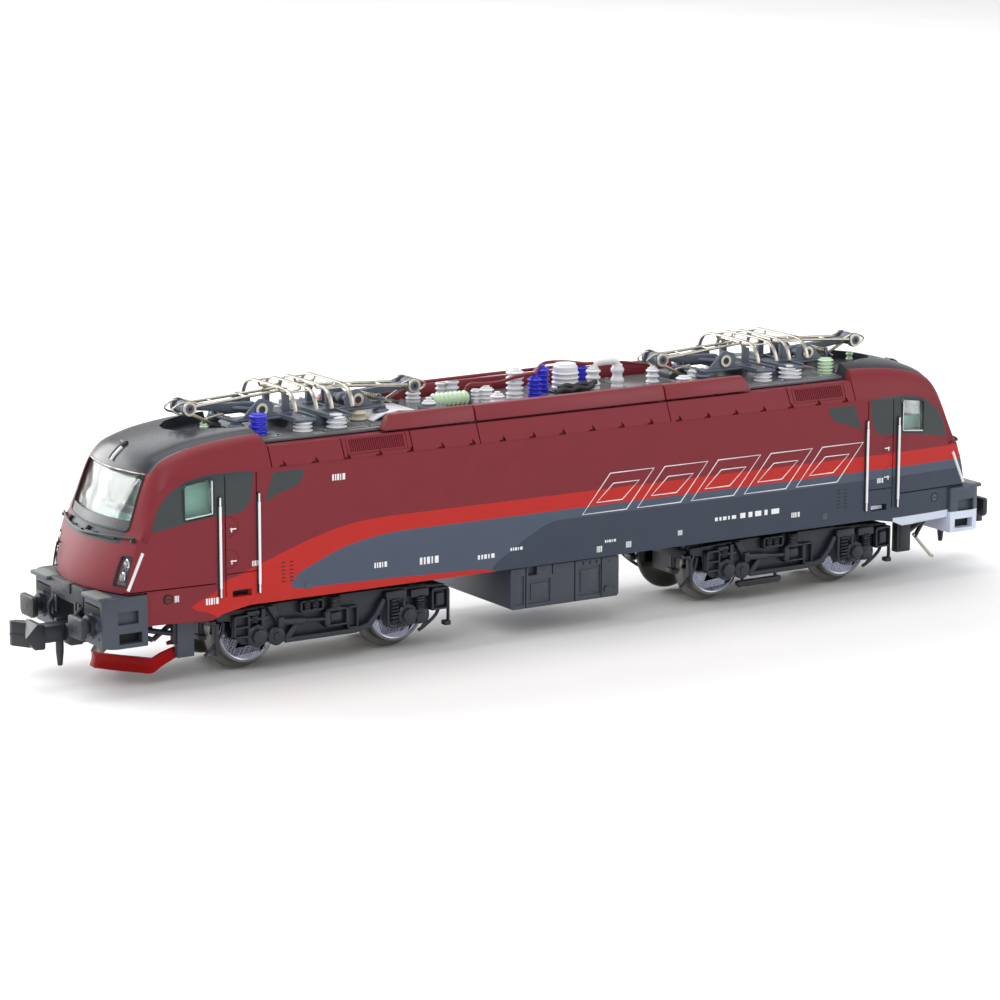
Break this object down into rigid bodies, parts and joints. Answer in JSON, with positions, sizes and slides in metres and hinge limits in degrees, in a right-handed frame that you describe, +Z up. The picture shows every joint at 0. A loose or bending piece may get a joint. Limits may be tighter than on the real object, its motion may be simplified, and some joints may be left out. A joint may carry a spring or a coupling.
{
  "type": "model electric locomotive",
  "caption": "Small-scale electric locomotive with two cabs, two powered bogies, folding single-arm pantographs, buffers and hook couplers.",
  "frame": {"origin": "middle of the locomotive at the bottom of the wheel flanges", "axes": "+X along the locomotive towards cab 2, +Z up, +Y across to the left seen from cab 2's driver facing forward"},
  "size_m": [0.1302, 0.0188, 0.0304],
  "materials": {
    "body_paint": "satin maroon, slate and orange livery on a moulded shell",
    "roof_grey": "satin dark grey moulding",
    "slate_plastic": "matte slate grey moulding",
    "slate_metal": "slate grey paint",
    "black_plastic": "matte blue-black moulding",
    "plough_red": "glossy dark red",
    "wheel_steel": "turned bright steel",
    "brass": "turned brass",
    "zinc": "grey die casting",
    "panto_silver": "satin champagne silver",
    "clear": "clear moulding",
    "mint_plastic": "pale mint moulding",
    "board_green": "green circuit board",
    "insulator_white": "white ribbed moulding",
    "busbar_red": "dark red paint"
  },
  "bodies": {
    "root": {"body_shell": "body_paint", "roof_deck": "roof_grey", "chassis": "zinc", "motor_case": "wheel_steel", "circuit_board": "board_green", "underfloor_box": "black_plastic", "roof_busbar": "busbar_red", "circuit_breaker": "insulator_white", "plough": "plough_red", "cab_glazing_1": "clear", "light_guide_1": "clear", "cab_interior_1": "mint_plastic", "buffer_beam_1": "slate_plastic", "cab_glazing_2": "clear", "light_guide_2": "clear", "cab_interior_2": "mint_plastic", "buffer_beam_2": "slate_plastic", "buffer_1_left": "black_plastic", "buffer_1_right": "black_plastic", "buffer_2_left": "black_plastic", "buffer_2_right": "black_plastic", "pantograph_a_base": "slate_plastic", "pantograph_b_base": "slate_plastic", "pantograph_c_base": "slate_plastic", "pantograph_d_base": "slate_plastic"},
    "rotor": {"motor_shaft": "brass", "cardan_shaft_1": "black_plastic", "cardan_shaft_2": "black_plastic"},
    "bogie_1": {"bogie_frame_1": "black_plastic", "gear_tower_1": "black_plastic"},
    "worm_shaft_1": {"worm_1": "brass"},
    "worm_gear_1": {"worm_wheel_1": "brass"},
    "idler_1_inner": {"idler_gear_1_inner": "brass"},
    "axle_1_inner": {"wheelset_1_inner": "wheel_steel"},
    "idler_1_outer": {"idler_gear_1_outer": "brass"},
    "axle_1_outer": {"wheelset_1_outer": "wheel_steel"},
    "coupler_swing_1": {"coupler_pocket_1": "black_plastic"},
    "coupler_hook_1": {"coupler_head_1": "black_plastic"},
    "bogie_2": {"bogie_frame_2": "black_plastic", "gear_tower_2": "black_plastic"},
    "worm_shaft_2": {"worm_2": "brass"},
    "worm_gear_2": {"worm_wheel_2": "brass"},
    "idler_2_inner": {"idler_gear_2_inner": "brass"},
    "axle_2_inner": {"wheelset_2_inner": "wheel_steel"},
    "idler_2_outer": {"idler_gear_2_outer": "brass"},
    "axle_2_outer": {"wheelset_2_outer": "wheel_steel"},
    "coupler_swing_2": {"coupler_pocket_2": "black_plastic"},
    "coupler_hook_2": {"coupler_head_2": "black_plastic"},
    "panto_a_lower": {"pantograph_a_lower_arm": "slate_metal"},
    "panto_a_upper": {"pantograph_a_upper_arm": "panto_silver"},
    "panto_a_collector": {"pantograph_a_head": "panto_silver"},
    "panto_b_lower": {"pantograph_b_lower_arm": "slate_metal"},
    "panto_b_upper": {"pantograph_b_upper_arm": "panto_silver"},
    "panto_b_collector": {"pantograph_b_head": "panto_silver"},
    "panto_c_lower": {"pantograph_c_lower_arm": "slate_metal"},
    "panto_c_upper": {"pantograph_c_upper_arm": "panto_silver"},
    "panto_c_collector": {"pantograph_c_head": "panto_silver"},
    "panto_d_lower": {"pantograph_d_lower_arm": "slate_metal"},
    "panto_d_upper": {"pantograph_d_upper_arm": "panto_silver"},
    "panto_d_collector": {"pantograph_d_head": "panto_silver"}
  },
  "joints": [
    {"name": "motor_spin", "type": "hinge", "parent": "root", "child": "rotor", "pos_m": [0, 0, 0.01435], "axis": [1, 0, 0], "continuous": true},
    {"name": "bogie_1_swivel", "type": "hinge", "parent": "root", "child": "bogie_1", "pos_m": [-0.03105, 0, 0.008], "axis": [0, 0, 1], "range_deg": [-10, 10]},
    {"name": "worm_1_spin", "type": "hinge", "parent": "bogie_1", "child": "worm_shaft_1", "pos_m": [-0.03105, 0, 0.01435], "axis": [1, 0, 0], "continuous": true},
    {"name": "worm_wheel_1_spin", "type": "hinge", "parent": "bogie_1", "child": "worm_gear_1", "pos_m": [-0.03105, 0, 0.00888], "axis": [0, 1, 0], "continuous": true},
    {"name": "idler_1_inner_spin", "type": "hinge", "parent": "bogie_1", "child": "idler_1_inner", "pos_m": [-0.02635, 0, 0.0045], "axis": [0, 1, 0], "continuous": true},
    {"name": "wheelset_1_inner_spin", "type": "hinge", "parent": "bogie_1", "child": "axle_1_inner", "pos_m": [-0.02165, 0, 0.0045], "axis": [0, 1, 0], "continuous": true},
    {"name": "idler_1_outer_spin", "type": "hinge", "parent": "bogie_1", "child": "idler_1_outer", "pos_m": [-0.03575, 0, 0.0045], "axis": [0, 1, 0], "continuous": true},
    {"name": "wheelset_1_outer_spin", "type": "hinge", "parent": "bogie_1", "child": "axle_1_outer", "pos_m": [-0.04045, 0, 0.0045], "axis": [0, 1, 0], "continuous": true},
    {"name": "coupler_1_swing", "type": "hinge", "parent": "root", "child": "coupler_swing_1", "pos_m": [-0.0546, 0, 0.0054], "axis": [0, 0, 1], "range_deg": [-10, 10], "stiffness_Nm_per_rad": 0.0001},
    {"name": "coupler_1_lift", "type": "hinge", "parent": "coupler_swing_1", "child": "coupler_hook_1", "pos_m": [-0.0582, 0, 0.0056], "axis": [0, 1, 0], "range_deg": [0, 12]},
    {"name": "bogie_2_swivel", "type": "hinge", "parent": "root", "child": "bogie_2", "pos_m": [0.03105, 0, 0.008], "axis": [0, 0, 1], "range_deg": [-10, 10]},
    {"name": "worm_2_spin", "type": "hinge", "parent": "bogie_2", "child": "worm_shaft_2", "pos_m": [0.03105, 0, 0.01435], "axis": [1, 0, 0], "continuous": true},
    {"name": "worm_wheel_2_spin", "type": "hinge", "parent": "bogie_2", "child": "worm_gear_2", "pos_m": [0.03105, 0, 0.00888], "axis": [0, 1, 0], "continuous": true},
    {"name": "idler_2_inner_spin", "type": "hinge", "parent": "bogie_2", "child": "idler_2_inner", "pos_m": [0.02635, 0, 0.0045], "axis": [0, 1, 0], "continuous": true},
    {"name": "wheelset_2_inner_spin", "type": "hinge", "parent": "bogie_2", "child": "axle_2_inner", "pos_m": [0.02165, 0, 0.0045], "axis": [0, 1, 0], "continuous": true},
    {"name": "idler_2_outer_spin", "type": "hinge", "parent": "bogie_2", "child": "idler_2_outer", "pos_m": [0.03575, 0, 0.0045], "axis": [0, 1, 0], "continuous": true},
    {"name": "wheelset_2_outer_spin", "type": "hinge", "parent": "bogie_2", "child": "axle_2_outer", "pos_m": [0.04045, 0, 0.0045], "axis": [0, 1, 0], "continuous": true},
    {"name": "coupler_2_swing", "type": "hinge", "parent": "root", "child": "coupler_swing_2", "pos_m": [0.0546, 0, 0.0054], "axis": [0, 0, 1], "range_deg": [-10, 10], "stiffness_Nm_per_rad": 0.0001},
    {"name": "coupler_2_lift", "type": "hinge", "parent": "coupler_swing_2", "child": "coupler_hook_2", "pos_m": [0.0582, 0, 0.0056], "axis": [0, -1, 0], "range_deg": [0, 12]},
    {"name": "pantograph_a_raise", "type": "hinge", "parent": "root", "child": "panto_a_lower", "pos_m": [-0.0365, 0, 0.0279], "axis": [0, 1, 0], "range_deg": [0, 45]},
    {"name": "pantograph_a_elbow", "type": "hinge", "parent": "panto_a_lower", "child": "panto_a_upper", "pos_m": [-0.0449, 0, 0.0287], "axis": [0, 1, 0], "range_deg": [-84, 0]},
    {"name": "pantograph_a_head_tilt", "type": "hinge", "parent": "panto_a_upper", "child": "panto_a_collector", "pos_m": [-0.0331, 0, 0.0296], "axis": [0, 1, 0], "range_deg": [0, 39]},
    {"name": "pantograph_b_raise", "type": "hinge", "parent": "root", "child": "panto_b_lower", "pos_m": [-0.0252, 0, 0.0279], "axis": [0, -1, 0], "range_deg": [0, 45]},
    {"name": "pantograph_b_elbow", "type": "hinge", "parent": "panto_b_lower", "child": "panto_b_upper", "pos_m": [-0.0168, 0, 0.0287], "axis": [0, -1, 0], "range_deg": [-84, 0]},
    {"name": "pantograph_b_head_tilt", "type": "hinge", "parent": "panto_b_upper", "child": "panto_b_collector", "pos_m": [-0.0286, 0, 0.0296], "axis": [0, -1, 0], "range_deg": [0, 39]},
    {"name": "pantograph_c_raise", "type": "hinge", "parent": "root", "child": "panto_c_lower", "pos_m": [0.0252, 0, 0.0279], "axis": [0, 1, 0], "range_deg": [0, 45]},
    {"name": "pantograph_c_elbow", "type": "hinge", "parent": "panto_c_lower", "child": "panto_c_upper", "pos_m": [0.0168, 0, 0.0287], "axis": [0, 1, 0], "range_deg": [-84, 0]},
    {"name": "pantograph_c_head_tilt", "type": "hinge", "parent": "panto_c_upper", "child": "panto_c_collector", "pos_m": [0.0286, 0, 0.0296], "axis": [0, 1, 0], "range_deg": [0, 39]},
    {"name": "pantograph_d_raise", "type": "hinge", "parent": "root", "child": "panto_d_lower", "pos_m": [0.0365, 0, 0.0279], "axis": [0, -1, 0], "range_deg": [0, 45]},
    {"name": "pantograph_d_elbow", "type": "hinge", "parent": "panto_d_lower", "child": "panto_d_upper", "pos_m": [0.0449, 0, 0.0287], "axis": [0, -1, 0], "range_deg": [-84, 0]},
    {"name": "pantograph_d_head_tilt", "type": "hinge", "parent": "panto_d_upper", "child": "panto_d_collector", "pos_m": [0.0331, 0, 0.0296], "axis": [0, -1, 0], "range_deg": [0, 39]}
  ],
  "couplings": [
    {"joint": "worm_1_spin", "follows": "motor_spin", "ratio": 1},
    {"joint": "worm_wheel_1_spin", "follows": "motor_spin", "ratio": -0.038462},
    {"joint": "idler_1_inner_spin", "follows": "motor_spin", "ratio": 0.066667},
    {"joint": "wheelset_1_inner_spin", "follows": "motor_spin", "ratio": -0.066667},
    {"joint": "idler_1_outer_spin", "follows": "motor_spin", "ratio": 0.066667},
    {"joint": "wheelset_1_outer_spin", "follows": "motor_spin", "ratio": -0.066667},
    {"joint": "worm_2_spin", "follows": "motor_spin", "ratio": 1},
    {"joint": "worm_wheel_2_spin", "follows": "motor_spin", "ratio": -0.038462},
    {"joint": "idler_2_inner_spin", "follows": "motor_spin", "ratio": 0.066667},
    {"joint": "wheelset_2_inner_spin", "follows": "motor_spin", "ratio": -0.066667},
    {"joint": "idler_2_outer_spin", "follows": "motor_spin", "ratio": 0.066667},
    {"joint": "wheelset_2_outer_spin", "follows": "motor_spin", "ratio": -0.066667},
    {"joint": "pantograph_a_elbow", "follows": "pantograph_a_raise", "ratio": -1.85},
    {"joint": "pantograph_a_head_tilt", "follows": "pantograph_a_raise", "ratio": 0.85},
    {"joint": "pantograph_b_elbow", "follows": "pantograph_b_raise", "ratio": -1.85},
    {"joint": "pantograph_b_head_tilt", "follows": "pantograph_b_raise", "ratio": 0.85},
    {"joint": "pantograph_c_elbow", "follows": "pantograph_c_raise", "ratio": -1.85},
    {"joint": "pantograph_c_head_tilt", "follows": "pantograph_c_raise", "ratio": 0.85},
    {"joint": "pantograph_d_elbow", "follows": "pantograph_d_raise", "ratio": -1.85},
    {"joint": "pantograph_d_head_tilt", "follows": "pantograph_d_raise", "ratio": 0.85}
  ]
}
